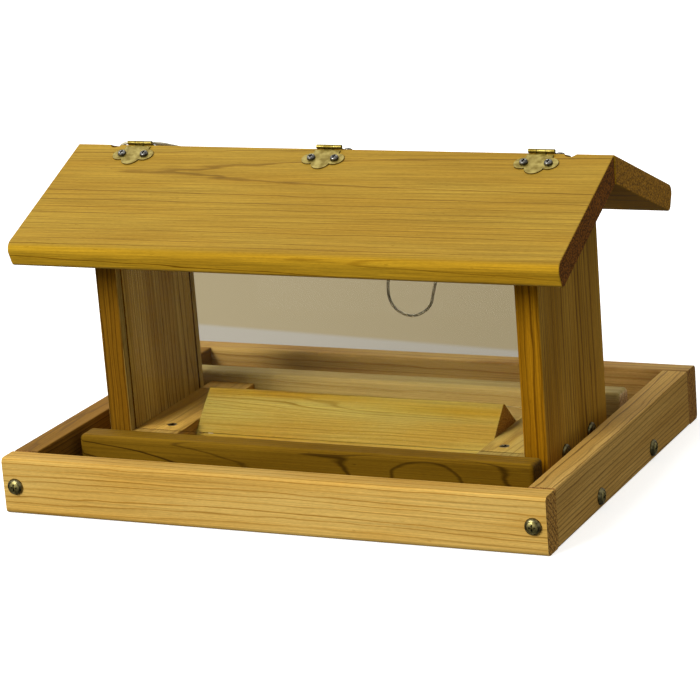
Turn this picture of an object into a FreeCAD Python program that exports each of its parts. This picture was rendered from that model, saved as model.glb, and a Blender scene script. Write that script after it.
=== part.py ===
import FreeCAD, Part
import math
import os

Vec = FreeCAD.Vector

# Moulded rail stock: the perch frame and the two lips of the seed trough.
rail_thick = 19.0
rail_high = 40.7
lip_high = 39.5
rail_ease = 3.5
side_rail_ease = 1.2
frame_long = 406.4
frame_deep = 304.8
lip_end_gap = 10.7
lip_shift = -3.5
rear_lip_shift = 0.8
rear_lip_raise = 2.0

# Sawn board stock: floor, battens and end walls.
board_thick = 17.0
board_ease = 0.8
floor_deep = 140.0
batten_wide = 36.0
hopper_end_gap = 15.7
wall_deep = 116.0

# Roof: two panels that meet in a plumb joint at the ridge. The front one is the lid.
roof_slope = 22.8
ridge_high = 231.0
roof_thick = 18.5
roof_run = 113.5
lid_overhang = 37.0
rear_overhang = 37.5
ridge_gap = 0.8
lid_seat_gap = 0.3
eave_top_round = 7.0
eave_under_round = 4.0

# Clear panes, loose in saw kerfs near the edges of the end walls.
pane_thick = 2.5
pane_face_clear = 0.35
pane_end_clear = 0.5
pane_lift = 4.0
pane_head_clear = 0.8
kerf_deep = 6.0
kerf_inset = 7.5

# Seed diverter: a block with a ridge, between the battens.
diverter_high = 36.0
diverter_deep = 72.0
diverter_foot = 1.5
diverter_round = 2.5
diverter_end_clear = 0.5

# Butterfly hinges. Leaf sizes are measured down the slope from below the pin.
left_hinge_inset = 50.7
right_hinge_inset = 51.5
centre_hinge_shift = -4.5
barrel_radius = 1.5
barrel_long = 19.0
knuckle_gap = 0.3
pin_radius = 0.7
pin_clear = 0.06
leaf_thick = 0.9
leaf_start = 3.0
side_lobe_radius = 6.2
side_lobe_out = 9.7
side_lobe_down = 13.2
end_lobe_radius = 6.8
end_lobe_down = 17.9
hinge_screw_out = 8.9
hinge_screw_down = 12.8
hinge_screw_clear = 0.2

# Screws. Lengths are below the head, or below the surface for sunk heads.
pan_head_radius = 2.9
pan_head_high = 2.0
pan_head_ease = 1.2
pan_shank_radius = 1.4
pan_length = 13.0
cup_outer_radius = 6.0
cup_rim_radius = 4.3
cup_high = 2.4
cup_shoulder_radius = 5.5
cup_shoulder_high = 1.5
cup_hole_clear = 0.3
oval_head_radius = 4.0
oval_dome = 1.1
oval_shank_radius = 2.0
flat_head_radius = 3.6
flat_shank_radius = 1.7
cross_wide = 1.1
cross_deep = 1.3
cross_share = 0.62
tip_share = 2.0
corner_screw_length = 40.0
floor_screw_length = 40.0
wall_screw_length = 34.0
batten_screw_length = 28.0
lip_screw_length = 40.0
diverter_screw_length = 35.0
roof_screw_length = 40.0
anchor_screw_length = 15.0
anchor_head_radius = 4.0
anchor_head_high = 2.6

# Where the screws go.
floor_screw_spread = 107.0
wall_screw_spread = 50.0
wall_screw_up = 11.0
batten_screw_spread = 73.4
batten_screw_inset = 22.5
lip_screw_inset = 33.5
diverter_screw_inset = 45.0
roof_screw_out = 5.5
roof_screw_back = (27.0, 49.0)

# Steel cable that hangs the feeder, with a lug at each end on the outside of an end wall.
# The right hole runs back into a slot, so the cable leaves it low.
cable_radius = 1.2
cable_hole_radius = 4.5
cable_hole_out = 6.0
cable_hole_back = 1.3
right_slot_back = 10.0
lug_ring_radius = 4.8
lug_thick = 1.6
lug_barrel_radius = 2.4
lug_barrel_long = 10.0
lug_barrel_start = 6.5
lug_screw_clear = 0.15
anchor_drop = 52.0
arc_share = 0.45

# The cable as it lies: from the left lug up through its hole, past the left hinge, across
# the rear panel, over the eave in a hanging loop, and back to the right lug.
cable_route = [
    (-170.9, 1.3, 195.5), (-170.9, 1.3, 204.0), (-172.3, 1.4, 212.0), (-173.9, 1.6, 218.8),
    (-174.3, 2.0, 224.2), (-173.7, 2.5, 227.1), (-172.1, 3.1, 229.6), (-169.6, 3.7, 231.2),
    (-166.5, 4.2, 231.8), (-161.0, 4.6, 231.9), (-152.8, 4.8, 231.8), (-146.8, 5.2, 231.5),
    (-141.4, 8.4, 230.4), (-136.8, 13.8, 227.9), (-130.8, 20.0, 224.7), (-122.3, 26.0, 222.1),
    (-111.7, 31.0, 219.9), (-99.0, 35.2, 218.1), (-85.0, 39.2, 216.5), (-68.0, 43.5, 214.7),
    (-50.0, 51.0, 211.5), (-34.0, 62.0, 206.8), (-22.0, 76.0, 201.0), (-14.0, 91.5, 194.5),
    (-9.4, 107.0, 188.2), (-8.2, 119.0, 179.2), (-9.7, 124.5, 165.4), (-12.6, 125.0, 149.9),
    (-15.6, 124.1, 135.4), (-18.8, 123.3, 121.4), (-22.0, 122.8, 108.9), (-24.2, 122.5, 97.5),
    (-22.6, 122.3, 86.9), (-16.4, 122.1, 80.0), (-5.6, 122.0, 76.4), (4.8, 122.1, 80.4),
    (11.0, 122.3, 86.6), (13.2, 122.6, 96.6), (15.4, 123.1, 104.6), (20.6, 123.7, 114.6),
    (29.2, 124.3, 130.0), (39.8, 124.7, 147.0), (49.8, 124.1, 162.4), (59.5, 120.1, 176.6),
    (70.0, 110.2, 186.6), (81.5, 95.0, 192.9), (93.0, 79.0, 199.6), (106.0, 63.5, 206.1),
    (120.0, 51.0, 211.5), (134.0, 41.2, 215.6), (147.0, 34.6, 218.4), (158.5, 30.2, 220.2),
    (167.0, 25.8, 222.1), (172.6, 20.8, 224.2), (174.8, 15.8, 226.1), (175.0, 10.8, 226.7),
    (174.8, 6.8, 225.2), (174.5, 4.0, 221.4), (174.0, 2.3, 216.4), (172.5, 1.5, 210.6),
    (170.9, 1.3, 204.0), (170.9, 1.3, 195.5),
]

# Tolerances for telling edges apart.
touch = 0.01
aligned = 0.999

# Places that follow from the sizes above.
slope = math.radians(roof_slope)
frame_end = frame_long / 2
frame_front = frame_deep / 2
rail_in_x = frame_end - rail_thick
rail_in_y = frame_front - rail_thick
floor_top = board_thick
batten_top = floor_top + board_thick
lip_in = floor_deep / 2
lip_out = lip_in + rail_thick
lip_end = rail_in_x - lip_end_gap
wall_out = rail_in_x - hopper_end_gap
wall_in = wall_out - board_thick
batten_in = wall_in - batten_wide
wall_edge = wall_deep / 2
kerf_y = wall_edge - kerf_inset
diverter_end = batten_in - diverter_end_clear
lid_end = wall_out + lid_overhang
rear_roof_end = wall_out + rear_overhang
barrel_end = barrel_long / 2
hinge_places = {
    "left": left_hinge_inset - lid_end,
    "centre": centre_hinge_shift,
    "right": lid_end - right_hinge_inset,
}
hinge_axis_z = ridge_high + barrel_radius / math.cos(slope)
cable_hole_x = wall_out + cable_hole_out
anchor_z = ridge_high - anchor_drop
sides = (-1, 1)


def roof_top(y):
    return ridge_high - abs(y) * math.tan(slope)


def roof_under(y):
    return roof_top(y) - roof_thick / math.cos(slope)


def block(low, high):
    size = Vec(*high) - Vec(*low)
    return Part.makeBox(size.x, size.y, size.z, Vec(*low))


def prism(outline, low_x, high_x):
    points = [Vec(low_x, y, z) for y, z in outline]
    face = Part.Face(Part.makePolygon(points + points[:1]))
    return face.extrude(Vec(high_x - low_x, 0, 0))


def runs_along(edge, axis):
    if not isinstance(edge.Curve, Part.Line):
        return False
    return abs(edge.tangentAt(edge.FirstParameter).dot(axis)) > aligned


def ease(shape, radius, wanted):
    return shape.makeFillet(radius, [edge for edge in shape.Edges if wanted(edge)])


def line(start, end):
    return Part.makeLine(Vec(start[0], 0, start[1]), Vec(end[0], 0, end[1]))


def arc(start, middle, end):
    ends = [Vec(radius, 0, z) for radius, z in (start, middle, end)]
    return Part.Arc(*ends).toShape()


def spin(edges):
    solid = Part.Face(Part.Wire(edges)).revolve(Vec(), Vec(0, 0, 1), 360)
    return Part.Solid(solid.Shells[0])


def put(shape, point, turn):
    moved = shape.copy()
    moved.Placement = FreeCAD.Placement(Vec(*point), turn).multiply(shape.Placement)
    return moved


def aim(shape, point, outward):
    return put(shape, point, FreeCAD.Rotation(Vec(0, 0, 1), Vec(*outward)))


def cross_recess(head_radius, top):
    reach = head_radius * cross_share
    low, high = top - cross_deep, top + cross_deep
    bar = block((-reach, -cross_wide / 2, low), (reach, cross_wide / 2, high))
    return bar.fuse(bar.rotated(Vec(), Vec(0, 0, 1), 90))


def shank_edges(radius, start, length):
    neck = tip_share * radius - length
    return [line((radius, start), (radius, neck)), line((radius, neck), (0, -length))]


def pan_screw(head_radius, head_high, shank_radius, length):
    head = Part.makeCylinder(head_radius, head_high)
    head = ease(head, pan_head_ease, lambda edge: edge.CenterOfMass.z > head_high - touch)
    head = head.cut(cross_recess(head_radius, head_high))
    shank = spin([line((0, 0), (shank_radius, 0))] + shank_edges(shank_radius, 0, length)
                 + [line((0, -length), (0, 0))])
    return head.fuse(shank).removeSplitter()


def flat_bore(length):
    under = flat_shank_radius - flat_head_radius
    return spin([line((0, 0), (flat_head_radius, 0)),
                 line((flat_head_radius, 0), (flat_shank_radius, under))]
                + shank_edges(flat_shank_radius, under, length) + [line((0, -length), (0, 0))])


def flat_screw(length):
    return flat_bore(length).cut(cross_recess(flat_head_radius, 0))


def oval_screw(length):
    seat = oval_seat(oval_head_radius)
    crown = seat + oval_dome
    under = oval_seat(oval_shank_radius)
    ball = (oval_head_radius ** 2 + oval_dome ** 2) / (2 * oval_dome)
    half = oval_head_radius / 2
    middle = (half, crown - ball + math.sqrt(ball ** 2 - half ** 2))
    body = spin([arc((0, crown), middle, (oval_head_radius, seat)),
                 line((oval_head_radius, seat), (oval_shank_radius, under))]
                + shank_edges(oval_shank_radius, under, length) + [line((0, -length), (0, crown))])
    return body.cut(cross_recess(oval_head_radius, crown))


def oval_seat(radius):
    return cup_high - (cup_rim_radius - radius)


def cup_washer():
    hole = oval_shank_radius + cup_hole_clear
    shoulder = (cup_shoulder_radius, cup_shoulder_high)
    return spin([line((hole, 0), (cup_outer_radius, 0)),
                 arc((cup_outer_radius, 0), shoulder, (cup_rim_radius, cup_high)),
                 line((cup_rim_radius, cup_high), (hole, oval_seat(hole))),
                 line((hole, oval_seat(hole)), (hole, 0))])


def cupped(places, length):
    screw, washer = oval_screw(length), cup_washer()
    return ([aim(screw, *place) for place in places], [aim(washer, *place) for place in places])


def rail(low, high, radius, along=None):
    stock = block(low, high)
    return ease(stock, radius, lambda edge: along is None or runs_along(edge, along))


def perch_frame():
    wide, deep = frame_end, frame_front
    ahead, across = (rail_ease, Vec(1, 0, 0)), (side_rail_ease, Vec(0, 1, 0))
    return {
        "front_rail": rail((-wide, -deep, 0), (wide, -rail_in_y, rail_high), *ahead),
        "rear_rail": rail((-wide, rail_in_y, 0), (wide, deep, rail_high), *ahead),
        "left_rail": rail((-wide, -rail_in_y, 0), (-rail_in_x, rail_in_y, rail_high), *across),
        "right_rail": rail((rail_in_x, -rail_in_y, 0), (wide, rail_in_y, rail_high), *across),
    }


def trough():
    rear_top = rear_lip_raise + lip_high
    return {
        "floor_board": block((-rail_in_x, -lip_in, 0), (rail_in_x, lip_in, floor_top)),
        "front_lip": rail((lip_shift - lip_end, -lip_out, 0),
                          (lip_shift + lip_end, -lip_in, lip_high), rail_ease),
        "rear_lip": rail((rear_lip_shift - lip_end, lip_in, rear_lip_raise),
                         (rear_lip_shift + lip_end, lip_out, rear_top), rail_ease),
    }


def batten(side):
    ends = sorted((side * batten_in, side * wall_in))
    stock = block((ends[0], -lip_in, floor_top), (ends[1], lip_in, batten_top))
    inner = side * batten_in

    def shows(edge):
        middle = edge.CenterOfMass
        return abs(middle.x - inner) < touch and abs(middle.z - batten_top) < touch
    return ease(stock, board_ease, shows)


def seed_diverter():
    half = diverter_deep / 2
    foot = floor_top + diverter_foot
    crown = floor_top + diverter_high
    outline = [(-half, floor_top), (half, floor_top), (half, foot), (0, crown), (-half, foot)]
    body = prism(outline, -diverter_end, diverter_end)
    return ease(body, diverter_round, lambda edge: runs_along(edge, Vec(1, 0, 0))
                and edge.CenterOfMass.z > crown - touch)


def end_wall(side):
    seat = lid_seat_gap / math.cos(slope)
    outline = [(-wall_edge, floor_top), (wall_edge, floor_top), (wall_edge, roof_under(wall_edge)),
               (0, roof_under(0)), (0, roof_under(0) - seat), (-wall_edge, roof_under(wall_edge) - seat)]
    ends = sorted((side * wall_in, side * wall_out))
    wall = prism(outline, *ends)
    wall = ease(wall, board_ease, lambda edge: runs_along(edge, Vec(0, 0, 1))
                and abs(edge.CenterOfMass.y) > wall_edge - touch)
    kerf_half = pane_thick / 2 + pane_face_clear
    depths = sorted((side * wall_in, side * (wall_in + kerf_deep)))
    for place in (-kerf_y, kerf_y):
        wall = wall.cut(block((depths[0], place - kerf_half, floor_top),
                              (depths[1], place + kerf_half, ridge_high)))
    return wall


def pane(place):
    reach = wall_in + kerf_deep - pane_end_clear
    half = pane_thick / 2
    head = roof_under(kerf_y + half) - pane_lift - pane_head_clear
    return block((-reach, place - half, batten_top), (reach, place + half, head))


def cable_slot(side, back):
    ends = [Vec(side * cable_hole_x, cable_hole_back + reach, 0) for reach in (0, back)]
    rounds = [Part.makeCylinder(cable_hole_radius, ridge_high, end) for end in ends]
    low = ends[0] - Vec(cable_hole_radius, 0, 0)
    middle = block(low, ends[1] + Vec(cable_hole_radius, 0, ridge_high))
    return rounds[0].fuse(rounds[1]).fuse(middle)


def roof_panel(side, half):
    joint = side * ridge_gap / 2
    eave = side * roof_run
    drop_y, drop_z = side * roof_thick * math.sin(slope), roof_thick * math.cos(slope)
    tip = (eave - drop_y, roof_top(eave) - drop_z)
    outline = [(joint, roof_top(joint)), (eave, roof_top(eave)), tip, (joint, roof_under(joint))]
    panel = prism(outline, -half, half)
    for corner, radius in (((eave, roof_top(eave)), eave_top_round), (tip, eave_under_round)):
        place = Vec(0, *corner)
        panel = ease(panel, radius, lambda edge: edge.CenterOfMass.distanceToPoint(place) < touch)
    panel = ease(panel, board_ease, lambda edge: abs(edge.CenterOfMass.x) > half - touch)
    hole = Part.makeCylinder(cable_hole_radius, ridge_high, Vec(-cable_hole_x, cable_hole_back, 0))
    return panel.cut(hole).cut(cable_slot(1, right_slot_back))


def disc(out, down, radius, low):
    return Part.makeCylinder(radius, leaf_thick, Vec(out, down, low))


def leaf_plate():
    low = -barrel_radius
    half = [(barrel_end, leaf_start), (side_lobe_out, side_lobe_down - side_lobe_radius),
            (side_lobe_out, side_lobe_down)]
    outline = half + [(0, end_lobe_down)] + [(-out, down) for out, down in reversed(half)]
    corners = [Vec(out, down, low) for out, down in outline]
    plate = Part.Face(Part.makePolygon(corners + corners[:1])).extrude(Vec(0, 0, leaf_thick))
    plate = plate.fuse(disc(0, end_lobe_down, end_lobe_radius, low))
    for side in sides:
        plate = plate.fuse(disc(side * side_lobe_out, side_lobe_down, side_lobe_radius, low))
    for side in sides:
        hole = disc(side * hinge_screw_out, hinge_screw_down, pan_shank_radius + hinge_screw_clear, low)
        plate = plate.cut(hole)
    return plate


def knuckle(low_x, high_x, bore):
    length = high_x - low_x
    outer = Part.makeCylinder(barrel_radius, length, Vec(low_x, 0, 0), Vec(1, 0, 0))
    strip = block((low_x, 0, -barrel_radius), (high_x, leaf_start, leaf_thick - barrel_radius))
    inner = Part.makeCylinder(bore, length, Vec(low_x, 0, 0), Vec(1, 0, 0))
    return outer.fuse(strip).cut(inner)


def hinge_leaf(spans, bore):
    leaf = leaf_plate()
    for span in spans:
        leaf = leaf.fuse(knuckle(*span, bore))
    return leaf.removeSplitter()


def on_slope(shape, place, front):
    tilt = FreeCAD.Rotation(Vec(1, 0, 0), roof_slope if front else -roof_slope)
    about = FreeCAD.Rotation(Vec(0, 0, 1), 180 if front else 0)
    return put(shape, (place, 0, hinge_axis_z), tilt * about)


def leaf_screws(place, front):
    screw = pan_screw(pan_head_radius, pan_head_high, pan_shank_radius, pan_length)
    screws = []
    for side in sides:
        seat = Vec(side * hinge_screw_out, hinge_screw_down, leaf_thick - barrel_radius)
        screws.append(on_slope(screw.translated(seat), place, front))
    return screws


def hinges():
    third = barrel_end / 3
    middle = [(-third, third)]
    outer = [(-barrel_end, -third - knuckle_gap), (third + knuckle_gap, barrel_end)]
    front = hinge_leaf(middle, pin_radius + pin_clear)
    rear = hinge_leaf(outer, pin_radius)
    pin = Part.makeCylinder(pin_radius, barrel_long, Vec(-barrel_end, 0, 0), Vec(1, 0, 0))
    nodes, lid_screws, ridge_screws = {}, [], []
    for name, place in hinge_places.items():
        nodes[f"{name}_hinge_front_leaf"] = on_slope(front, place, True)
        nodes[f"{name}_hinge_rear_leaf"] = on_slope(rear, place, False)
        nodes[f"{name}_hinge_pin"] = on_slope(pin, place, False)
        lid_screws += leaf_screws(place, True)
        ridge_screws += leaf_screws(place, False)
    return nodes, lid_screws, ridge_screws


def cable_lug(side):
    face = side * wall_out
    centre = Vec(face, cable_hole_back, anchor_z)
    outward = Vec(side, 0, 0)
    ring = Part.makeCylinder(lug_ring_radius, lug_thick, centre, outward)
    start = anchor_z + lug_barrel_start
    xs = sorted((face, face + side * lug_thick))
    neck = block((xs[0], cable_hole_back - lug_barrel_radius, anchor_z),
                 (xs[1], cable_hole_back + lug_barrel_radius, start + lug_barrel_radius))
    barrel_x = face + side * lug_barrel_radius
    barrel = Part.makeCylinder(lug_barrel_radius, lug_barrel_long, Vec(barrel_x, cable_hole_back, start))
    hole = Part.makeCylinder(oval_shank_radius + lug_screw_clear, lug_thick, centre, outward)
    return ring.fuse(neck).fuse(barrel).cut(hole).removeSplitter()


def cable_path(points):
    edges, radii = [], []
    start = points[0]
    for before, corner, after in zip(points, points[1:], points[2:]):
        inward, outward = corner - before, after - corner
        cut = arc_share * min(inward.Length, outward.Length)
        turn = inward.getAngle(outward)
        inward.normalize()
        outward.normalize()
        radius = cut / math.tan(turn / 2)
        bend = (outward - inward).normalize()
        middle = corner + bend * (radius / math.cos(turn / 2) - radius)
        first, last = corner - inward * cut, corner + outward * cut
        edges.append(Part.LineSegment(start, first).toShape())
        edges.append(Part.Arc(first, middle, last).toShape())
        radii.append(radius)
        start = last
    edges.append(Part.LineSegment(start, points[-1]).toShape())
    return Part.Wire(edges), radii


def hanging_cable():
    points = [Vec(*point) for point in cable_route]
    path, radii = cable_path(points)
    ring = Part.Wire(Part.makeCircle(cable_radius, points[0], points[1] - points[0]))
    tube = path.makePipeShell([ring], True, False)
    exact = math.pi * cable_radius ** 2 * path.Length
    print("cable length", round(path.Length, 1), "least radius", round(min(radii), 1))
    print("cable radii", [round(radius, 1) for radius in radii])
    print("cable volume", round(tube.Volume, 2), "against section times length", round(exact, 2))
    return tube


def rail_screws():
    corner_x = frame_end - rail_thick / 2
    corners = [((x * corner_x, y * frame_front, rail_high / 2), (0, y, 0)) for x in sides for y in sides]
    half = floor_screw_spread / 2
    ends = [((x * frame_end, y, floor_top / 2), (x, 0, 0)) for x in sides for y in (-half, half)]
    return cupped(corners, corner_screw_length), cupped(ends, floor_screw_length)


def wall_screws():
    half = wall_screw_spread / 2
    height = floor_top + wall_screw_up
    return cupped([((x * wall_out, y, height), (x, 0, 0)) for x in sides for y in (-half, half)],
                  wall_screw_length)


def sunk_screws():
    batten_x = wall_in - batten_screw_inset
    batten_half = batten_screw_spread / 2
    diverter_x = diverter_end - diverter_screw_inset
    lip_x = lip_end - lip_screw_inset
    roof_x = wall_out - roof_screw_out
    up_slope = (0, math.sin(slope), math.cos(slope))
    places = {
        "batten_screws": [((x * batten_x, y * batten_half, batten_top), (0, 0, 1))
                          for x in sides for y in sides],
        "lip_screws": [((middle + x * lip_x, y * lip_out, floor_top / 2), (0, y, 0))
                       for x in (-1, 0, 1) for y, middle in ((-1, lip_shift), (1, rear_lip_shift))],
        "diverter_screws": [((x * diverter_x, 0, 0), (0, 0, -1)) for x in sides],
        "rear_roof_screws": [((x * roof_x, y, roof_top(y)), up_slope)
                             for x in sides for y in roof_screw_back],
    }
    lengths = {
        "batten_screws": batten_screw_length, "lip_screws": lip_screw_length,
        "diverter_screws": diverter_screw_length, "rear_roof_screws": roof_screw_length,
    }
    screws, bores = {}, {}
    for name, spots in places.items():
        screws[name] = [aim(flat_screw(lengths[name]), *spot) for spot in spots]
        bores[name] = [aim(flat_bore(lengths[name]), *spot) for spot in spots]
    return screws, bores


def anchor_screws():
    screw = pan_screw(anchor_head_radius, anchor_head_high, oval_shank_radius, anchor_screw_length)
    out = wall_out + lug_thick
    return [aim(screw, (x * out, cable_hole_back, anchor_z), (x, 0, 0)) for x in sides]


def feeder():
    nodes = {**perch_frame(), **trough()}
    nodes["left_batten"], nodes["right_batten"] = batten(-1), batten(1)
    nodes["seed_diverter"] = seed_diverter()
    nodes["left_end_wall"], nodes["right_end_wall"] = end_wall(-1), end_wall(1)
    nodes["front_pane"], nodes["rear_pane"] = pane(-kerf_y), pane(kerf_y)
    nodes["front_roof_panel"] = roof_panel(-1, lid_end)
    nodes["rear_roof_panel"] = roof_panel(1, rear_roof_end)
    hinge_nodes, lid_screws, ridge_screws = hinges()
    (corner, corner_cups), (floor_end, floor_cups) = rail_screws()
    wall, wall_cups = wall_screws()
    sunk, bores = sunk_screws()
    groups = {
        "lid_hinge_screws": lid_screws, "ridge_hinge_screws": ridge_screws,
        "rail_corner_screws": corner, "floor_end_screws": floor_end, "end_wall_screws": wall,
        "cable_anchor_screws": anchor_screws(), **sunk,
    }
    cups = {
        "rail_corner_washers": corner_cups, "floor_end_washers": floor_cups,
        "end_wall_washers": wall_cups,
    }
    holds = {
        "rail_corner_screws": ("front_rail", "rear_rail", "left_rail", "right_rail"),
        "floor_end_screws": ("left_rail", "right_rail", "floor_board"),
        "end_wall_screws": ("left_end_wall", "right_end_wall", "left_batten", "right_batten"),
        "batten_screws": ("left_batten", "right_batten", "floor_board"),
        "lip_screws": ("front_lip", "rear_lip", "floor_board"),
        "diverter_screws": ("floor_board", "seed_diverter"),
        "rear_roof_screws": ("rear_roof_panel", "left_end_wall", "right_end_wall"),
        "lid_hinge_screws": ("front_roof_panel",),
        "ridge_hinge_screws": ("rear_roof_panel",),
        "cable_anchor_screws": ("left_end_wall", "right_end_wall"),
    }
    for group, boards in holds.items():
        for board in boards:
            nodes[board] = nodes[board].cut(bores.get(group, groups[group]))
    nodes.update(hinge_nodes)
    for name, solids in {**groups, **cups}.items():
        nodes[name] = Part.makeCompound(solids)
    nodes["left_cable_lug"], nodes["right_cable_lug"] = cable_lug(-1), cable_lug(1)
    nodes["hanging_cable"] = hanging_cable()
    return nodes


os.makedirs("parts", exist_ok=True)
for name, shape in feeder().items():
    shape.exportStep(f"parts/{name}.step")
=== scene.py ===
import math

import bpy
from mathutils import Matrix, Vector


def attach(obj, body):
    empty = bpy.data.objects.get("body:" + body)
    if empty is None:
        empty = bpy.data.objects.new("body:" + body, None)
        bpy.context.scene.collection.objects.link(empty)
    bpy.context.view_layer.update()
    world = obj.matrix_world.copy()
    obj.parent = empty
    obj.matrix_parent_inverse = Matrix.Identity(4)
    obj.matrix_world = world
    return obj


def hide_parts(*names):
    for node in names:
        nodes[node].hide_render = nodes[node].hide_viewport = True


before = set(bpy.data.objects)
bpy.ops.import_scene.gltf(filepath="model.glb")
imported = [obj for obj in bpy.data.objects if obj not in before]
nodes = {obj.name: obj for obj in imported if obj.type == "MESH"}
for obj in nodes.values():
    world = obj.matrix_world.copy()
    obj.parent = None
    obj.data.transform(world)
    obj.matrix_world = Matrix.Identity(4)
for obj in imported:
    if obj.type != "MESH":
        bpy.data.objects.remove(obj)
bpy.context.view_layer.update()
mm = 0.001
print("loaded", len(nodes), "pieces")


def linearColour(hexCode):  # sRGB hex to the linear colour that sockets take
    channels = [int(hexCode[place:place + 2], 16) / 255 for place in (1, 3, 5)]
    return [c / 12.92 if c <= 0.04045 else ((c + 0.055) / 1.055) ** 2.4 for c in channels] + [1.0]


# Adds a node with its settings and links. A range takes the pairs From and To. A colour Mix has its
# share at socket 0, its two colours at 6 and 7 and its result at output 2.
def addNode(tree, kind, inputs=None, output=0, **settings):
    node = tree.nodes.new("ShaderNode" + kind)
    for name, value in settings.items():
        setattr(node, name, value)
    for socket, value in (inputs or {}).items():
        if isinstance(value, bpy.types.NodeSocket):
            tree.links.new(value, node.inputs[socket])
        elif socket in ("From", "To"):
            for end, number in zip((" Min", " Max"), value):
                node.inputs[socket + end].default_value = number
        else:
            node.inputs[socket].default_value = value
    return node.outputs[output] if node.outputs else node


def newMaterial(name):
    material = bpy.data.materials.new(name)
    material.use_nodes = True
    tree = material.node_tree
    tree.nodes.clear()
    shader = addNode(tree, "BsdfPrincipled")
    addNode(tree, "OutputMaterial", {"Surface": shader})
    return material, tree, shader.node.inputs


def paint(names, material):
    for name in names:
        mesh = nodes[name].data
        mesh.materials.clear()
        mesh.materials.append(material)


# Western red cedar, planed or sawn and left bare. A board is cut out of a stem of growth rings:
# pale early wood that darkens into a thin hard line of late wood. The pith is a line through the
# stem, so rings come out as straight lines, flames or arcs by where the board lay in it.
grainTurns = {"X": (0.0, 0.0, 0.0), "Y": (0.0, 0.0, math.pi / 2), "Z": (0.0, -math.pi / 2, 0.0)}
cedar = {
    "swayLong": 260.0, "swayWide": 45.0,      # mm, slow bends of the stem along and across the grain
    "waverLong": 38.0, "waverWide": 5.0,      # mm, small wavers of one line
    "waverHigh": 0.5,                         # mm
    "noiseSpan": (0.3, 0.7),                  # nearly all of a noise field lies in here
    "noiseMiddle": (0.5, 0.5, 0.5),
    "noiseGain": 4.0, "weatherGain": 2.0,     # stretch a noise field to its named height
    "lateStart": 0.66, "lateFull": 0.92,      # shares of a year at which late wood begins and is full
    "lateStop": 0.94,                         # and from which it fades into the next year
    "weatherPace": 0.37, "vigourPace": 0.71,  # changes a year in how wide and how dark the lines are
    "vigourLeast": 0.5,                       # share of the contrast in the palest years
    "unevenRings": 0.5,                       # rings, how far wide and narrow years shift the lines
    "fibreLong": 320.0, "fibreWide": 0.8,     # mm, fibre streaks, drawn coarser than real ones to show
    "fibreDark": 0.18, "fibreLight": 0.14,    # how far they darken and lighten
    "blotchLong": 140.0, "blotchWide": 22.0,  # mm, slow changes of colour
    "blotchSpan": (0.35, 0.65),
    "fleckLong": 7.0, "fleckWide": 0.8,       # mm, short dark resin dashes
    "fleckSpan": (0.73, 0.8), "fleckDark": 0.7,
    "poreSize": 1.2, "poreRough": 0.6,        # mm, torn pores on sawn ends, coarser than real to show
    "poreSpan": (0.4, 0.6),
    "fuzzLong": 4.0, "fuzzWide": 0.6,         # mm, short broken fibres of the cut surface
    "fuzzTones": (0.91, 1.08),
    "noiseDetail": {"sway": 1.0, "waver": 1.0, "fibre": 2.0, "blotch": 2.0, "fleck": 1.0, "fuzz": 2.0},
    # The same shares also darken the painted shadow on the seed diverter.
    "stainAndShade": (0.86, 0.66, 0.2),               # shares of red, green and blue left by ochre heartwood
    "facing": (0.7, 0.92),                    # how squarely a face looks along an axis
    "endRings": 0.4,                          # tone of the late wood on sawn ends
    "edgeWide": 1.4,                          # mm, rubbed or chipped along the edges
    "edgeTurn": (0.97, 0.8), "edgePale": 0.7, "edgeSamples": 4,
    "reliefHigh": 0.22, "reliefShare": 0.7,   # mm, late wood stands proud of early wood
    "lateRelief": 0.4, "poreRelief": 2.0,
    "rough": (0.68, 0.52),                    # early and late wood
    "shine": 0.12, "shineTint": "#E2B860",
}
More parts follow.
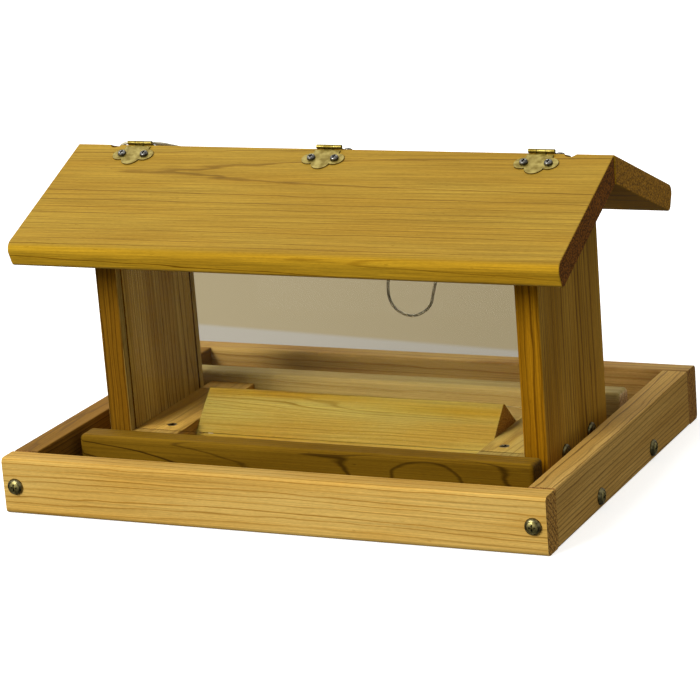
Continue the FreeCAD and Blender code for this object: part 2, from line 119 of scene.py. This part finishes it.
# Where each board lay in its stem: the axis that the grain follows, a point on the pith in mm, its tilt
# in degrees, mm of wood a year, the part of a year that the rings are shifted by, and mm of sway.
# Edges have the axis that they face and a tone, which on the left rail is painted light. Swirls, stains
# and painted shade have a centre and a reach in mm.
boards = {
    "front_roof_panel": {
        "grain": "X", "pith": (0, -5.0, 169.1), "tilt": (0, -1.03, 0.81), "ring": 4.6, "shift": 0.37,
        "sway": 0.4, "waver": 0.3, "fibres": 1.4, "uneven": 0.2, "lateStart": 0.88, "contrast": 1.0,
        "end": "#462707", "endPale": "#965B19",
        "edges": ("Y", (1.29, 1.21, 0.54)),
        "early": "#AA8831", "late": "#73510A", "warm": "#A37E29",
    },
    "rear_roof_panel": {
        "grain": "X", "pith": (0, 26, 150), "tilt": (0, 0.9, -0.5), "ring": 4.8, "shift": 0.3,
        "sway": 3.0, "endRings": 0.8, "contrast": 0.75, "end": "#755115", "endPale": "#C28A2B",
        "edges": ("Y", (1.2, 1.15, 0.55)),
        "early": "#B08B33", "late": "#835C0F", "warm": "#A9812A",
    },
    "front_rail": {
        "grain": "X", "pith": (0, -270, -105), "tilt": (0, 0.1, 0.2), "ring": 3.6, "shift": 0.0,
        "sway": 1.6, "contrast": 1.0, "end": "#865E26", "endPale": "#CE9B4B",
        "edges": ("Z", (1.0, 1.0, 1.0)),
        "early": "#DAB35F", "late": "#A97828", "warm": "#CFA14A",
    },
    "rear_rail": {
        "grain": "X", "pith": (0, 230, -60), "tilt": (0, 0.3, 0.2), "ring": 3.2, "shift": 0.2,
        "sway": 2.0, "contrast": 0.8, "end": "#815424", "endPale": "#B4843C",
        "edges": ("Z", (1.1, 1.1, 1.1)),
        "early": "#BB9B58", "late": "#845D2A", "warm": "#AA8244",
    },
    "left_rail": {
        "grain": "Y", "pith": (-200, 0, -28), "tilt": (0.5, 0, 0.4), "ring": 3.6, "shift": 0.4,
        "sway": 3.0, "contrast": 0.9, "end": "#7E5A2C", "endPale": "#A87C46",
        # Painted light: the top of this rail is painted lighter than its sides, to lift the shade on
        # it.
        "edges": ("Z", (1.5, 1.6, 1.75)),
        "early": "#825B20", "late": "#4A2C07", "warm": "#745019",
    },
    "right_rail": {
        "grain": "Y", "pith": (300, 0, -130), "tilt": (0.1, 0, 0.2), "ring": 2.7, "shift": 0.0,
        "sway": 1.4, "contrast": 1.0, "end": "#7E5A2C", "endPale": "#A87C46",
        "edges": ("Z", (1.05, 1.1, 1.2)),
        "early": "#CCA153", "late": "#74501B", "warm": "#BC8F43",
    },
    "front_lip": {
        "grain": "X", "pith": (0, 160, 20), "tilt": (0, 0.1, 0), "ring": 3.6, "shift": 0.58,
        "sway": 0.5, "waver": 0.15, "uneven": 0.0, "lateStart": 0.86, "contrast": 1.0,
        "end": "#3C2B0C", "endPale": "#564015",
        "edges": ("Z", (1.45, 1.48, 1.53)),
        "early": "#785810", "late": "#2B1701", "warm": "#684A0A",
        "swirls": [((92, -89, 23), (72, 60, 35), 1.6), ((-240, -89, 18), (300, 90, 43), -3.6)],
    },
    "rear_lip": {
        "grain": "X", "pith": (0, 150, -40), "tilt": (0, 0.2, 0.4), "ring": 4.0, "shift": 0.0,
        "sway": 2.5, "contrast": 0.6, "end": "#B4905C", "endPale": "#D2B484",
        "edges": ("Z", (1.0, 1.0, 1.0)),
        "early": "#AD9A5E", "late": "#8F7339", "warm": "#A58C52",
    },
    "floor_board": {
        "grain": "X", "pith": (0, 10, -70), "tilt": (0, 0.8, 0.4), "ring": 4.6, "shift": 0.0,
        "sway": 4.0, "contrast": 0.8, "end": "#7E5A2C", "endPale": "#A87C46",
        "edges": ("Y", (0.8, 0.75, 0.6)),
        "early": "#C69A58", "late": "#8E662C", "warm": "#B68848",
    },
    "left_batten": {
        "grain": "Y", "pith": (-150, 0, -22), "tilt": (1.4, 0, 0.6), "ring": 3.4, "shift": 0.0,
        "sway": 3.0, "contrast": 0.8, "end": "#6E4C22", "endPale": "#94703C",
        "edges": ("X", (0.8, 0.75, 0.7)),
        "early": "#C09B4D", "late": "#866220", "warm": "#B28739",
    },
    "right_batten": {
        "grain": "Y", "pith": (122, 0, -18), "tilt": (1.2, 0, -0.5), "ring": 3.4, "shift": 0.5,
        "sway": 3.0, "contrast": 0.8, "end": "#6E4C22", "endPale": "#94703C",
        "edges": ("X", (0.8, 0.75, 0.7)),
        "early": "#B39F57", "late": "#84662B", "warm": "#AB8D44",
    },
    "seed_diverter": {
        "grain": "X", "pith": (0, -130, -40), "tilt": (0, 0.3, 0.2), "ring": 2.8, "shift": 0.0,
        "sway": 3.0, "contrast": 0.7, "end": "#8A6836", "endPale": "#B4904E",
        "edges": ("Z", (1.0, 1.0, 1.0)),
        "early": "#998943", "late": "#67470A", "warm": "#947831",
        "swirls": [((108, -14, 46), (34, 12, 12), 1.6), ((60, -9, 43), (190, 14, 11), 3.4)],
        # The first two are ochre heartwood; the third, low at the left front of the slope, is painted
        # shadow.
        "stainsAndShade": [((-60, -3, 50.5), (170, 7, 6), 0.8), ((90, -7, 47), (130, 10, 8), 0.85),
                   ((-90, -30, 24), (80, 10, 9), 0.7)],
    },
    "left_end_wall": {
        "grain": "Z", "pith": (-262, 70, 0), "tilt": (0.3, 0.2, 0), "ring": 2.5, "shift": 0.0,
        "sway": 1.8, "fibres": 1.8, "contrast": 1.0, "end": "#6E4C22", "endPale": "#94703C",
        "edges": ("Y", (0.44, 0.294, 0.062)),
        "early": "#C0A152", "late": "#6F5218", "warm": "#AA8941",
    },
    "right_end_wall": {
        "grain": "Z", "pith": (262, 64, 0), "tilt": (-0.3, 0.25, 0), "ring": 2.5, "shift": 0.0,
        "sway": 1.8, "lateStart": 0.6, "fibres": 1.8, "contrast": 0.85,
        "end": "#6E4C22", "endPale": "#94703C",
        "edges": ("Y", (0.8, 0.67, 0.16)),
        "early": "#B3872E", "late": "#603C06", "warm": "#9E721D",
    },
}


def cedarMaterial(name, board):
    material, tree, shader = newMaterial("bareCedar_" + name)
    early, late, warm = (linearColour(board[tone]) for tone in ("early", "late", "warm"))
    turn = [base + math.radians(tilt) for base, tilt in zip(grainTurns[board["grain"]], board["tilt"])]
    pith = [part * mm for part in board["pith"]]
    place = addNode(tree, "TexCoord", output="Object")
    stem = addNode(tree, "Mapping", {"Vector": place, "Location": pith, "Rotation": turn},
                   vector_type="TEXTURE")

    # Noise fields in the stem, each stretched along the grain by its two real sizes.
    fields = {}
    for field, detail in cedar["noiseDetail"].items():
        wide = 1 / (cedar[field + "Wide"] * mm)
        stretch = (1 / (cedar[field + "Long"] * mm), wide, wide)
        spot = addNode(tree, "VectorMath", {0: stem, 1: stretch}, operation="MULTIPLY")
        output = "Color" if field in ("sway", "waver") else 0
        sockets = {"Vector": spot, "Scale": 1.0, "Detail": detail}
        fields[field] = addNode(tree, "TexNoise", sockets, output)
    sockets = {"Vector": place, "Scale": 1 / (cedar["poreSize"] * mm), "Detail": 2.0,
               "Roughness": cedar["poreRough"]}
    fields["pore"] = addNode(tree, "TexNoise", sockets)

    # Distance from the swaying pith, counted in years.
    bent = stem
    waver = board.get("waver", cedar["waverHigh"])
    for field, high in (("sway", board["sway"]), ("waver", waver)):
        push = [cedar["noiseGain"] * high * mm] * 3
        centred = addNode(tree, "VectorMath", {0: fields[field], 1: cedar["noiseMiddle"]},
                          operation="SUBTRACT")
        bent = addNode(tree, "VectorMath", {0: centred, 1: push, 2: bent}, operation="MULTIPLY_ADD")
    across = addNode(tree, "VectorMath", {0: bent, 1: (0, 1, 1)}, operation="MULTIPLY")
    radius = addNode(tree, "VectorMath", {0: across}, "Value", operation="LENGTH")
    sockets = {0: radius, 1: 1 / (board["ring"] * mm), 2: board["shift"]}
    years = addNode(tree, "Math", sockets, operation="MULTIPLY_ADD")

    def near(centre, reach, most):  # full at the centre, none where the reach ends
        middle = [part * mm for part in centre]
        shrink = [1 / (part * mm) for part in reach]
        away = addNode(tree, "VectorMath", {0: place, 1: middle}, operation="SUBTRACT")
        away = addNode(tree, "VectorMath", {0: away, 1: shrink}, operation="MULTIPLY")
        away = addNode(tree, "VectorMath", {0: away}, "Value", operation="LENGTH")
        return addNode(tree, "MapRange", {"Value": away, "To": (most, 0.0)},
                       interpolation_type="SMOOTHSTEP")

    for swirl in board.get("swirls", []):  # grain that runs round a knot below the face
        years = addNode(tree, "Math", {0: years, 1: near(*swirl)}, operation="ADD")
    weather = addNode(tree, "TexNoise", {"W": years, "Scale": cedar["weatherPace"], "Detail": 1.0},
                      noise_dimensions="1D")
    uneven = cedar["weatherGain"] * board.get("uneven", cedar["unevenRings"])
    years = addNode(tree, "Math", {0: weather, 1: uneven, 2: years}, operation="MULTIPLY_ADD")
    season = addNode(tree, "Math", {0: years}, operation="FRACT")
    darkening = (board.get("lateStart", cedar["lateStart"]), cedar["lateFull"])
    rise = addNode(tree, "MapRange", {"Value": season, "From": darkening},
                   interpolation_type="SMOOTHSTEP")
    stop = addNode(tree, "MapRange", {"Value": season, "From Min": cedar["lateStop"],
                                      "To": (1.0, 0.0)})
    lateWood = addNode(tree, "Math", {0: rise, 1: stop}, operation="MULTIPLY")
    year = addNode(tree, "Math", {0: years}, operation="FLOOR")
    vigour = addNode(tree, "TexNoise", {"W": year, "Scale": cedar["vigourPace"], "Detail": 0.0},
                     noise_dimensions="1D")
    depths = (cedar["vigourLeast"] * board["contrast"], board["contrast"])
    vigour = addNode(tree, "MapRange", {"Value": vigour, "From": cedar["noiseSpan"], "To": depths})
    lateShare = addNode(tree, "Math", {0: lateWood, 1: vigour}, operation="MULTIPLY")

    # Planed faces: early and late wood, slow blotches, resin flecks, fibre streaks.
    blotch = addNode(tree, "MapRange", {"Value": fields["blotch"], "From": cedar["blotchSpan"]})
    body = addNode(tree, "Mix", {0: blotch, 6: early, 7: warm}, 2, data_type="RGBA")
    face = addNode(tree, "Mix", {0: lateShare, 6: body, 7: late}, 2, data_type="RGBA")
    fleck = addNode(tree, "MapRange", {"Value": fields["fleck"], "From": cedar["fleckSpan"],
                                       "To Max": cedar["fleckDark"]})
    face = addNode(tree, "Mix", {0: fleck, 6: face, 7: late}, 2, data_type="RGBA")
    fibres = board.get("fibres", 1.0)
    fibreTones = (1 - cedar["fibreDark"] * fibres, 1 + cedar["fibreLight"] * fibres)
    fibre = addNode(tree, "MapRange", {"Value": fields["fibre"], "From": cedar["noiseSpan"],
                                       "To": fibreTones})
    fuzz = addNode(tree, "MapRange", {"Value": fields["fuzz"], "From": cedar["noiseSpan"],
                                      "To": cedar["fuzzTones"]})
    tone = addNode(tree, "Math", {0: fibre, 1: fuzz}, operation="MULTIPLY")
    face = addNode(tree, "VectorMath", {0: face, "Scale": tone}, operation="SCALE")
    # Stains of ochre heartwood, and on the seed diverter also a painted shadow at the lower left front.
    for stainAndShade in board.get("stainsAndShade", []):  # ochre heartwood
        stainedAndShaded = addNode(tree, "VectorMath", {0: face, 1: cedar["stainAndShade"]}, operation="MULTIPLY")
        face = addNode(tree, "Mix", {0: near(*stainAndShade), 6: face, 7: stainedAndShaded}, 2, data_type="RGBA")

    # Which way a face looks: along the grain it is an end, and narrow edges have their own tone, which
    # on the left rail is painted light.
    normal = addNode(tree, "TexCoord", output="Normal")
    shares = {}
    for side, letter in (("end", board["grain"]), ("edge", board["edges"][0])):
        axis = [1.0 if letter == name else 0.0 for name in "XYZ"]
        facing = addNode(tree, "VectorMath", {0: normal, 1: axis}, "Value", operation="DOT_PRODUCT")
        facing = addNode(tree, "Math", {0: facing}, operation="ABSOLUTE")
        shares[side] = addNode(tree, "MapRange", {"Value": facing, "From": cedar["facing"]})
    edged = addNode(tree, "VectorMath", {0: face, 1: board["edges"][1]}, operation="MULTIPLY")
    face = addNode(tree, "Mix", {0: shares["edge"], 6: face, 7: edged}, 2, data_type="RGBA")

    # Sawn ends drink the light: darker, speckled with torn pores, the rings drawn across them.
    speck = addNode(tree, "MapRange", {"Value": fields["pore"], "From": cedar["poreSpan"]})
    ends = addNode(tree, "Mix", {0: speck, 6: linearColour(board["end"]),
                                 7: linearColour(board["endPale"])}, 2, data_type="RGBA")
    endTones = (1.0, board.get("endRings", cedar["endRings"]))
    dark = addNode(tree, "MapRange", {"Value": lateWood, "To": endTones})
    ends = addNode(tree, "VectorMath", {0: ends, "Scale": dark}, operation="SCALE")
    colour = addNode(tree, "Mix", {0: shares["end"], 6: face, 7: ends}, 2, data_type="RGBA")

    # Edges are rubbed pale in places.
    rounded = addNode(tree, "Bevel", {"Radius": cedar["edgeWide"] * mm}, samples=cedar["edgeSamples"])
    straight = addNode(tree, "NewGeometry", output="Normal")
    meet = addNode(tree, "VectorMath", {0: rounded, 1: straight}, "Value", operation="DOT_PRODUCT")
    edge = addNode(tree, "MapRange", {"Value": meet, "From": cedar["edgeTurn"],
                                      "To Max": cedar["edgePale"]})
    worn = addNode(tree, "Math", {0: edge, 1: speck}, operation="MULTIPLY")
    colour = addNode(tree, "Mix", {0: worn, 6: colour, 7: early}, 2, data_type="RGBA")

    # Late wood and fibres stand proud, torn ends are rough.
    relief = addNode(tree, "Math", {0: lateWood, 1: cedar["lateRelief"], 2: fields["fibre"]},
                     operation="MULTIPLY_ADD")
    torn = addNode(tree, "Math", {0: fields["pore"], 1: shares["end"]}, operation="MULTIPLY")
    relief = addNode(tree, "Math", {0: torn, 1: cedar["poreRelief"], 2: relief},
                     operation="MULTIPLY_ADD")
    bump = addNode(tree, "Bump", {"Height": relief, "Strength": cedar["reliefShare"],
                                  "Distance": cedar["reliefHigh"] * mm})
    rough = addNode(tree, "MapRange", {"Value": lateShare, "To": cedar["rough"]})
    tree.links.new(colour, shader["Base Color"])
    tree.links.new(rough, shader["Roughness"])
    tree.links.new(bump, shader["Normal"])
    shader["Specular IOR Level"].default_value = cedar["shine"]
    shader["Specular Tint"].default_value = linearColour(cedar["shineTint"])
    return material


for boardName, board in boards.items():
    paint([boardName], cedarMaterial(boardName, board))
print("cut", len(boards), "boards from the stem")

# Clear cast acrylic sheet, polished faces: it shows what is behind it, a little warmer.
acrylic = {"tint": "#FAF8F2", "shine": "#303030", "bend": 1.49, "smearSize": 60.0, "rough": 0.02}
panes = ("front_pane", "rear_pane")


def acrylicMaterial():
    material, tree, shader = newMaterial("castAcrylic")
    place = addNode(tree, "TexCoord", output="Object")
    smear = addNode(tree, "TexNoise", {"Vector": place, "Detail": 3.0,
                                       "Scale": 1 / (acrylic["smearSize"] * mm)})
    rough = addNode(tree, "MapRange", {"Value": smear, "To Max": acrylic["rough"]})
    tree.links.new(rough, shader["Roughness"])
    shader["Base Color"].default_value = linearColour(acrylic["tint"])
    shader["Specular Tint"].default_value = linearColour(acrylic["shine"])
    shader["Transmission Weight"].default_value = 1.0
    shader["IOR"].default_value = acrylic["bend"]
    return material


paint(panes, acrylicMaterial())
for pane in panes:
    nodes[pane].visible_shadow = False  # lamp light reaches the trough through the clear sheet

# Stamped and plated metals: a bright skin with faint rub marks and duller patches.
# Cross slots and the groove round a head are darkened as painted shade.
plating = {
    "patchSpan": (0.35, 0.65),
    "rubHigh": 0.03, "rubShare": 0.2,                                        # mm
    "deep": 1.2, "openness": (0.45, 0.85), "paintedRecessShade": "#140F08", "samples": 8,  # mm, recesses
}
metals = {  # patch, rub and deep in mm
    "brassPlatedHinge": {
        "light": "#8F8041", "dull": "#796726", "rough": (0.32, 0.5), "patch": 5.0, "rub": 0.5,
    },
    "brassPin": {
        "light": "#E8CF5A", "dull": "#8F7420", "rough": (0.25, 0.45), "patch": 3.0, "rub": 0.4,
    },
    "nickelWasher": {
        "light": "#888059", "dull": "#453E26", "rough": (0.26, 0.42), "patch": 2.5, "rub": 0.4,
    },
    "zincScrew": {
        "light": "#9C9A92", "dull": "#4C4A44", "rough": (0.25, 0.45), "patch": 2.0, "rub": 0.4,
    },
    "yellowZincScrew": {
        "light": "#B5A96C", "dull": "#6E6438", "rough": (0.4, 0.55), "patch": 2.0, "rub": 0.4,
    },
    "galvanisedWire": {
        "light": "#DDD7BE", "dull": "#A8A28C", "rough": (0.45, 0.6), "patch": 6.0, "rub": 0.4,
        "deep": 0.2,
    },
}


def metalMaterial(name, metal):
    material, tree, shader = newMaterial(name)
    place = addNode(tree, "TexCoord", output="Object")
    noises = {}
    for field, detail in (("patch", 3.0), ("rub", 2.0)):
        sockets = {"Vector": place, "Detail": detail, "Scale": 1 / (metal[field] * mm)}
        noises[field] = addNode(tree, "TexNoise", sockets)
    dull = addNode(tree, "MapRange", {"Value": noises["patch"], "From": plating["patchSpan"]})
    colour = addNode(tree, "Mix", {0: dull, 6: linearColour(metal["light"]),
                                   7: linearColour(metal["dull"])}, 2, data_type="RGBA")
    deep = metal.get("deep", plating["deep"]) * mm
    # Painted shade: the colour goes toward near black where ambient occlusion finds a recess.
    openness = addNode(tree, "AmbientOcclusion", {"Distance": deep}, "AO", samples=plating["samples"])
    paintedRecessShade = addNode(tree, "MapRange", {"Value": openness, "From": plating["openness"],
                                      "To": (1.0, 0.0)})
    colour = addNode(tree, "Mix", {0: paintedRecessShade, 6: colour, 7: linearColour(plating["paintedRecessShade"])}, 2,
                     data_type="RGBA")
    rough = addNode(tree, "MapRange", {"Value": dull, "To": metal["rough"]})
    bump = addNode(tree, "Bump", {"Height": noises["rub"], "Strength": plating["rubShare"],
                                  "Distance": plating["rubHigh"] * mm})
    tree.links.new(colour, shader["Base Color"])
    tree.links.new(rough, shader["Roughness"])
    tree.links.new(bump, shader["Normal"])
    shader["Metallic"].default_value = 1.0
    return material


finishes = {name: metalMaterial(name, metal) for name, metal in metals.items()}
hinges = [place + "_hinge" for place in ("left", "centre", "right")]
paint([f"{hinge}_{side}_leaf" for hinge in hinges for side in ("front", "rear")],
      finishes["brassPlatedHinge"])
paint([hinge + "_pin" for hinge in hinges], finishes["brassPin"])
paint([name for name in nodes if name.endswith("_washers")], finishes["nickelWasher"])
paint([name for name in nodes if name.endswith("_screws")], finishes["zincScrew"])
paint(["rail_corner_screws", "floor_end_screws", "end_wall_screws"], finishes["yellowZincScrew"])
paint(["left_cable_lug", "right_cable_lug"], finishes["galvanisedWire"])
print("plated", len(finishes), "metals")

# Hanging cable: galvanised wire rope, six strands laid round a core, along the cable in the frame.
cable = {
    "radius": 1.2 * mm, "strands": 6, "layLong": 15 * mm, "stepsPerPoint": 10, "roundness": 1,
    "route": [
        (-0.1709, 0.0013, 0.1955), (-0.1709, 0.0013, 0.2040), (-0.1723, 0.0014, 0.2120),
        (-0.1739, 0.0016, 0.2188), (-0.1743, 0.0020, 0.2242), (-0.1737, 0.0025, 0.2271),
        (-0.1721, 0.0031, 0.2296), (-0.1696, 0.0037, 0.2312), (-0.1665, 0.0042, 0.2318),
        (-0.1610, 0.0046, 0.2319), (-0.1528, 0.0048, 0.2318), (-0.1468, 0.0052, 0.2315),
        (-0.1414, 0.0084, 0.2304), (-0.1368, 0.0138, 0.2279), (-0.1308, 0.0200, 0.2247),
        (-0.1223, 0.0260, 0.2221), (-0.1117, 0.0310, 0.2199), (-0.0990, 0.0352, 0.2181),
        (-0.0850, 0.0392, 0.2165), (-0.0680, 0.0435, 0.2147), (-0.0500, 0.0510, 0.2115),
        (-0.0340, 0.0620, 0.2068), (-0.0220, 0.0760, 0.2010), (-0.0140, 0.0915, 0.1945),
        (-0.0094, 0.1070, 0.1882), (-0.0082, 0.1190, 0.1792), (-0.0097, 0.1245, 0.1654),
        (-0.0126, 0.1250, 0.1499), (-0.0156, 0.1241, 0.1354), (-0.0188, 0.1233, 0.1214),
        (-0.0220, 0.1228, 0.1089), (-0.0242, 0.1225, 0.0975), (-0.0226, 0.1223, 0.0869),
        (-0.0164, 0.1221, 0.0800), (-0.0056, 0.1220, 0.0764), (0.0048, 0.1221, 0.0804),
        (0.0110, 0.1223, 0.0866), (0.0132, 0.1226, 0.0966), (0.0154, 0.1231, 0.1046),
        (0.0206, 0.1237, 0.1146), (0.0292, 0.1243, 0.1300), (0.0398, 0.1247, 0.1470),
        (0.0498, 0.1241, 0.1624), (0.0595, 0.1201, 0.1766), (0.0700, 0.1102, 0.1866),
        (0.0815, 0.0950, 0.1929), (0.0930, 0.0790, 0.1996), (0.1060, 0.0635, 0.2061),
        (0.1200, 0.0510, 0.2115), (0.1340, 0.0412, 0.2156), (0.1470, 0.0346, 0.2184),
        (0.1585, 0.0302, 0.2202), (0.1670, 0.0258, 0.2221), (0.1726, 0.0208, 0.2242),
        (0.1748, 0.0158, 0.2261), (0.1750, 0.0108, 0.2267), (0.1748, 0.0068, 0.2252),
        (0.1745, 0.0040, 0.2214), (0.1740, 0.0023, 0.2164), (0.1725, 0.0015, 0.2106),
        (0.1709, 0.0013, 0.2040), (0.1709, 0.0013, 0.1955),
    ],
}


def routeLine(route):  # the smooth line along the route, as points
    curve = bpy.data.curves.new("cableRoute", "CURVE")
    curve.dimensions = "3D"
    spline = curve.splines.new("NURBS")
    spline.points.add(len(route) - 1)
    for point, spot in zip(spline.points, route):
        point.co = (*spot, 1.0)
    spline.order_u = 3
    spline.use_endpoint_u = True
    spline.resolution_u = cable["stepsPerPoint"]
    carrier = bpy.data.objects.new("cableRoute", curve)
    bpy.context.scene.collection.objects.link(carrier)
    mesh = bpy.data.meshes.new_from_object(carrier.evaluated_get(bpy.context.evaluated_depsgraph_get()))
    line = [vertex.co.copy() for vertex in mesh.vertices]
    bpy.data.objects.remove(carrier)
    bpy.data.meshes.remove(mesh)
    return line


def strandLines(line):  # each strand winds round the line, on a side direction carried along it
    strandRadius = cable["radius"] / 3  # the core is as thick as a strand
    ringRadius = cable["radius"] - strandRadius
    strands = [[] for _ in range(cable["strands"])]
    side = Vector((1, 0, 0))
    length = 0.0
    for number, point in enumerate(line):
        before, after = line[max(number - 1, 0)], line[min(number + 1, len(line) - 1)]
        length += (point - before).length
        ahead = (after - before).normalized()
        side = (side - ahead * side.dot(ahead)).normalized()
        other = ahead.cross(side)
        for turn, strand in enumerate(strands):
            angle = 2 * math.pi * (length / cable["layLong"] + turn / cable["strands"])
            strand.append(point + ringRadius * (math.cos(angle) * side + math.sin(angle) * other))
    return strands, strandRadius, length


def ropePiece(lines, radius):
    curve = bpy.data.curves.new("wireRope", "CURVE")
    curve.dimensions = "3D"
    curve.bevel_depth = radius
    curve.bevel_resolution = cable["roundness"]
    curve.use_fill_caps = True
    for line in lines:
        spline = curve.splines.new("POLY")
        spline.points.add(len(line) - 1)
        for point, spot in zip(spline.points, line):
            point.co = (*spot, 1.0)
    rope = bpy.data.objects.new("hangingWireRope", curve)
    bpy.context.scene.collection.objects.link(rope)
    bpy.ops.object.select_all(action="DESELECT")
    rope.select_set(True)
    bpy.context.view_layer.objects.active = rope
    bpy.ops.object.convert(target="MESH")
    bpy.ops.object.shade_smooth()
    return bpy.context.object


ropeLine = routeLine(cable["route"])
strands, strandRadius, ropeLength = strandLines(ropeLine)
rope = ropePiece([ropeLine] + strands, strandRadius)
rope.data.materials.append(finishes["galvanisedWire"])
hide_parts("hanging_cable")
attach(rope, "base")
paint(["hanging_cable"], finishes["galvanisedWire"])
print("laid", round(ropeLength, 3), "m of cable,", len(rope.data.polygons), "faces")

# Studio: a pale floor that runs past the view, a large soft light at the front left, a dim one above
# that the metals mirror, and a sky that is darker below the horizon. A beige wall stands behind, as in
# the photograph, which shows it through the panes only because the rest was cut away to white.
studio = {
    "floorSize": 14.0, "floor": "#F4F4F2", "floorGlow": 0.65, "floorRough": (0.85, 0.95),
    "mottle": 3.0,
    "wallBack": 0.25, "wallSize": 4.0, "wall": "#ACA083",
    "wallSpan": (-0.24, 0.02), "wallGlow": (1.09, 0.92),  # m, it dims from left to right
    "wallFoot": "#B4B0A9", "footSpan": (0.0135, 0.0175), "footTilt": 0.031,  # m, pale at the floor
    "sky": (0.1, 0.6), "horizon": (-0.15, 0.15),
    "key": {"place": (-1.5, -3.0, 2.1), "aim": (0.0, 0.0, 0.1), "size": 1.6, "power": 118.0},
    "top": {"place": (-1.35, 1.35, 2.6), "aim": (0.0, 0.0, 0.2), "size": 2.0, "power": 22.0},
}


def makeFloor():
    bpy.ops.object.select_all(action="DESELECT")
    bpy.ops.mesh.primitive_plane_add(size=studio["floorSize"])
    floor = bpy.context.object
    floor.name = "studioFloor"
    material, tree, shader = newMaterial("paleBackdropPaper")
    place = addNode(tree, "TexCoord", output="Object")
    mottle = addNode(tree, "TexNoise", {"Vector": place, "Scale": studio["mottle"], "Detail": 2.0})
    rough = addNode(tree, "MapRange", {"Value": mottle, "To": studio["floorRough"]})
    tree.links.new(rough, shader["Roughness"])
    shader["Base Color"].default_value = linearColour(studio["floor"])
    shader["Emission Color"].default_value = linearColour(studio["floor"])
    shader["Emission Strength"].default_value = studio["floorGlow"]
    floor.data.materials.append(material)
    floor.visible_diffuse = False  # the sky alone lights from below, so shaded faces keep their shade
    floor.visible_glossy = False


def makeWall():
    half = studio["wallSize"] / 2
    bpy.ops.object.select_all(action="DESELECT")
    bpy.ops.mesh.primitive_plane_add(size=studio["wallSize"], location=(0, studio["wallBack"], half),
                                     rotation=(math.pi / 2, 0, 0))
    bpy.ops.object.transform_apply()
    wall = bpy.context.object
    wall.name = "studioWall"
    material, tree, shader = newMaterial("beigePlaster")
    place = addNode(tree, "TexCoord", output="Object")
    height = addNode(tree, "VectorMath", {0: place, 1: (studio["footTilt"], 0, 1)}, "Value",
                     operation="DOT_PRODUCT")
    rise = addNode(tree, "MapRange", {"Value": height, "From": studio["footSpan"]},
                   interpolation_type="SMOOTHSTEP")
    colour = addNode(tree, "Mix", {0: rise, 6: linearColour(studio["wallFoot"]),
                                   7: linearColour(studio["wall"])}, 2, data_type="RGBA")
    side = addNode(tree, "SeparateXYZ", {0: place}, 0)
    glow = addNode(tree, "MapRange", {"Value": side, "From": studio["wallSpan"],
                                      "To": studio["wallGlow"]})
    tree.links.new(colour, shader["Emission Color"])
    tree.links.new(glow, shader["Emission Strength"])
    shader["Base Color"].default_value = linearColour("#000000")
    wall.data.materials.append(material)
    wall.visible_camera = False
    wall.visible_diffuse = False
    wall.visible_glossy = False
    wall.visible_shadow = False


def makeLight(name):
    lamp = studio[name]
    light = bpy.data.lights.new(name + "Softbox", "AREA")
    light.size = lamp["size"]
    light.energy = lamp["power"]
    holder = bpy.data.objects.new(name + "Softbox", light)
    bpy.context.scene.collection.objects.link(holder)
    holder.location = lamp["place"]
    holder.rotation_euler = (Vector(lamp["aim"]) - holder.location).to_track_quat("-Z", "Y").to_euler()


def makeSky():
    world = bpy.data.worlds.new("evenSky")
    world.use_nodes = True
    tree = world.node_tree
    direction = addNode(tree, "TexCoord", output="Generated")
    height = addNode(tree, "SeparateXYZ", {0: direction}, 2)
    strength = addNode(tree, "MapRange", {"Value": height, "From": studio["horizon"],
                                          "To": studio["sky"]})
    background = tree.nodes["Background"]
    background.inputs["Color"].default_value = linearColour("#FFFFFF")
    tree.links.new(strength, background.inputs["Strength"])
    bpy.context.scene.world = world
    bpy.context.scene.view_settings.view_transform = "Standard"


makeFloor()
makeWall()
makeLight("key")
makeLight("top")
makeSky()

# Camera as the photograph was taken: from the front right and above, a long lens held a little askew.
view = {
    "yaw": 25.843, "pitch": 15.654, "roll": -4.466, "distance": 2.0973,
    "target": (-0.0007, 0.0, 0.08536), "lens": 152.07, "sensor": 36.0,
}


def makeCamera():
    lens = bpy.data.cameras.new("photoCamera")
    lens.lens = view["lens"]
    lens.sensor_width = view["sensor"]
    camera = bpy.data.objects.new("photoCamera", lens)
    bpy.context.scene.collection.objects.link(camera)
    turn = (Matrix.Rotation(math.radians(view["yaw"]), 4, "Z")
            @ Matrix.Rotation(math.radians(90 - view["pitch"]), 4, "X")
            @ Matrix.Rotation(math.radians(view["roll"]), 4, "Z"))
    back = Matrix.Translation((0, 0, view["distance"]))
    camera.matrix_world = Matrix.Translation(view["target"]) @ turn @ back
    bpy.context.scene.camera = camera


makeCamera()
print("studio and camera set")
